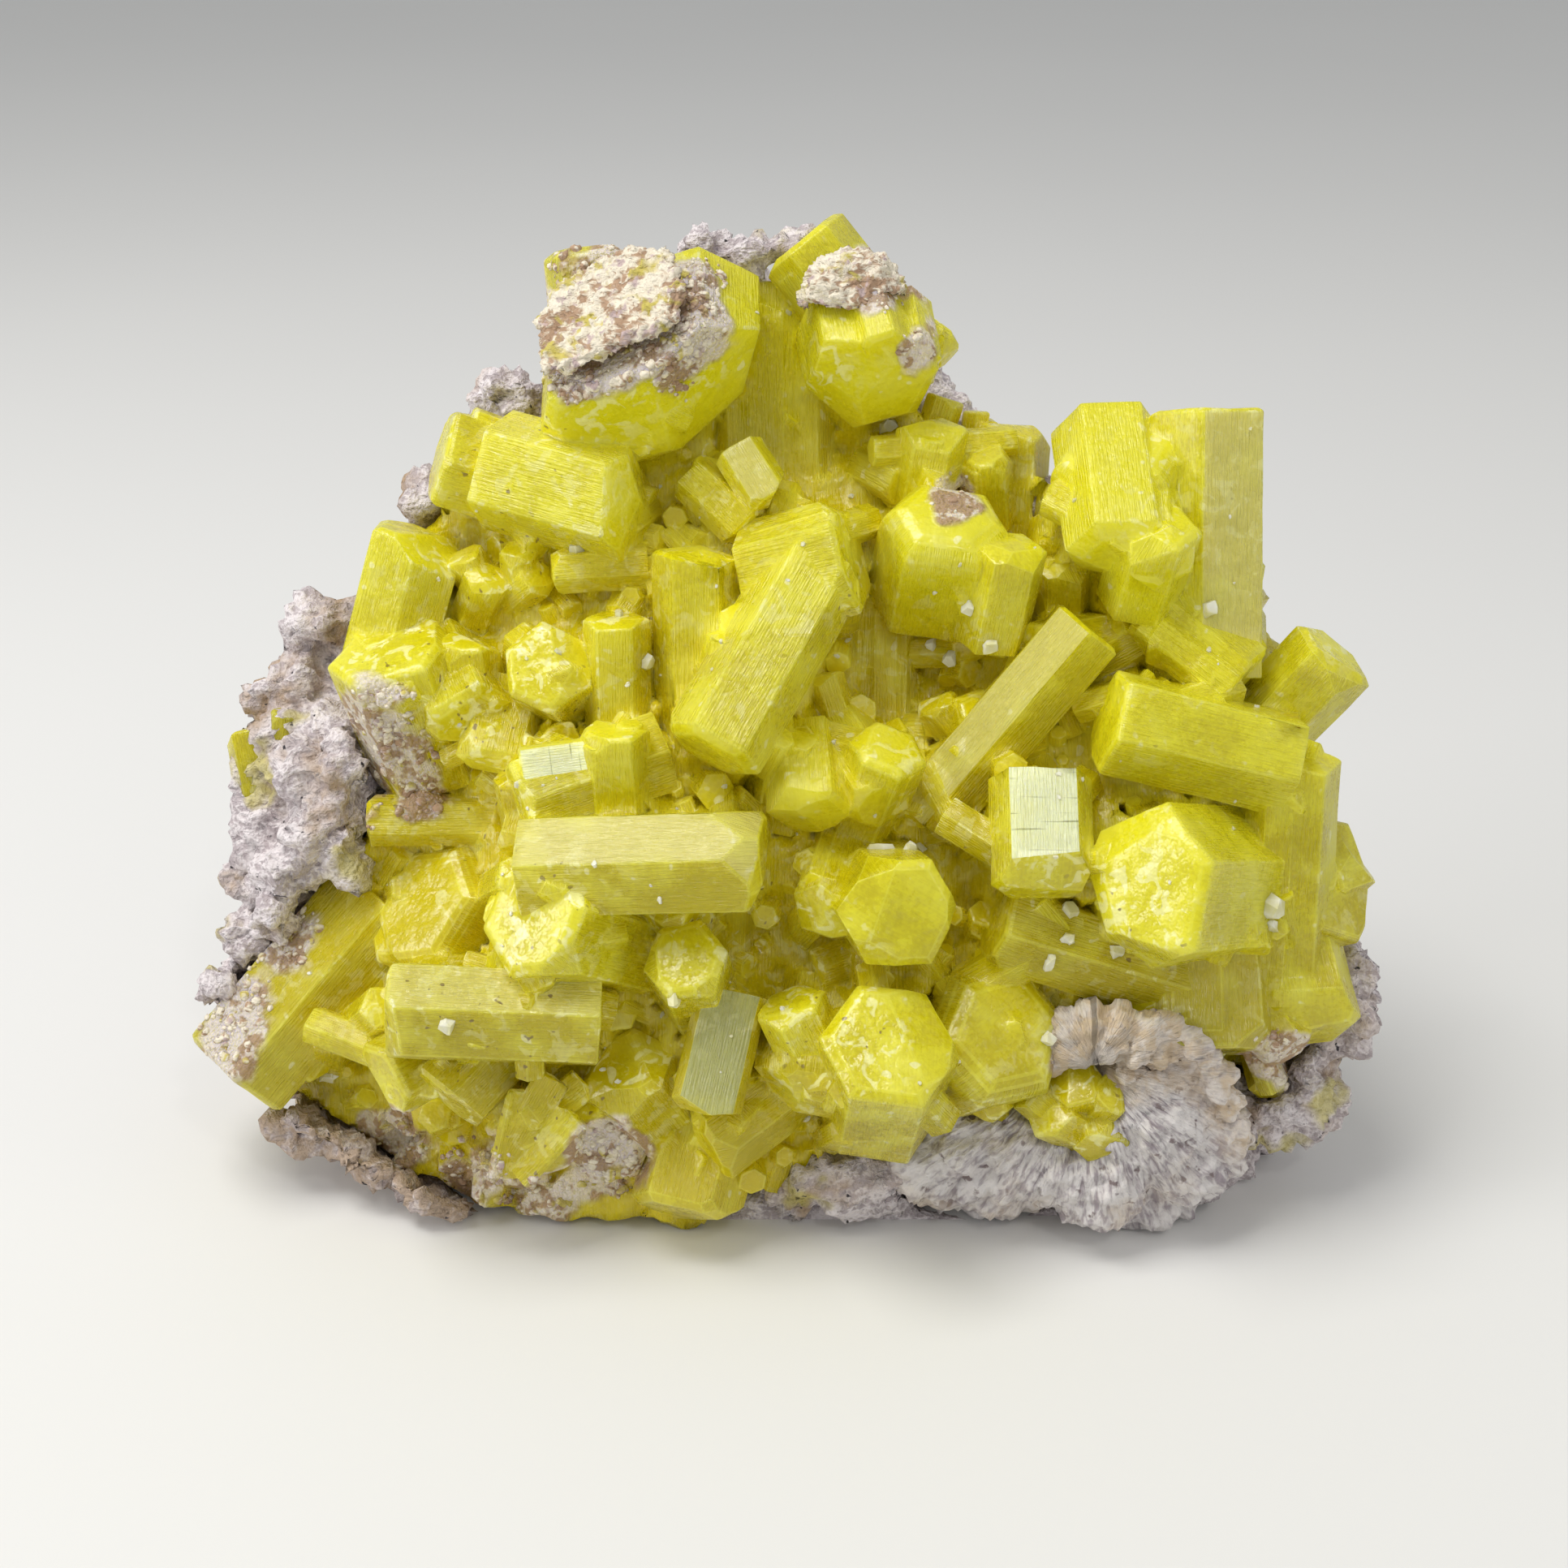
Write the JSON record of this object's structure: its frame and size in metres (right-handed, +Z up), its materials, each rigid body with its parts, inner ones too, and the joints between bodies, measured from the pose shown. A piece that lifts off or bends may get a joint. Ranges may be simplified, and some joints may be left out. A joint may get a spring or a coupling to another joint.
{
  "type": "sturmanite crystal specimen",
  "caption": "Hand specimen of yellow six-sided sturmanite prisms grown together on grey-lavender matrix rock, with a flat foot.",
  "frame": {"origin": "middle of the flat foot that the specimen rests on", "axes": "+Z up; -Y out of the crystal-covered face, which leans back about 25 degrees; +X to the right as that face is looked at"},
  "size_m": [0.045, 0.0248, 0.0349],
  "materials": {
    "matrix": "rough grey-lavender rock, grainy and fibrous, with brown stains and black specks",
    "sturmanite": "waxy translucent lemon-yellow crystal faces, finely striated along the prisms",
    "nodule": "radiating silky fibres, pale lavender with a beige granular rim",
    "crust": "grainy crust, white, lavender and brown"
  },
  "bodies": {
    "root": {"matrix_rock": "matrix", "crystal_cluster": "sturmanite", "fibrous_nodule": "nodule", "nodule_crystals": "sturmanite", "crown_left_crust": "crust", "crown_right_lump": "crust"}
  },
  "joints": []
}
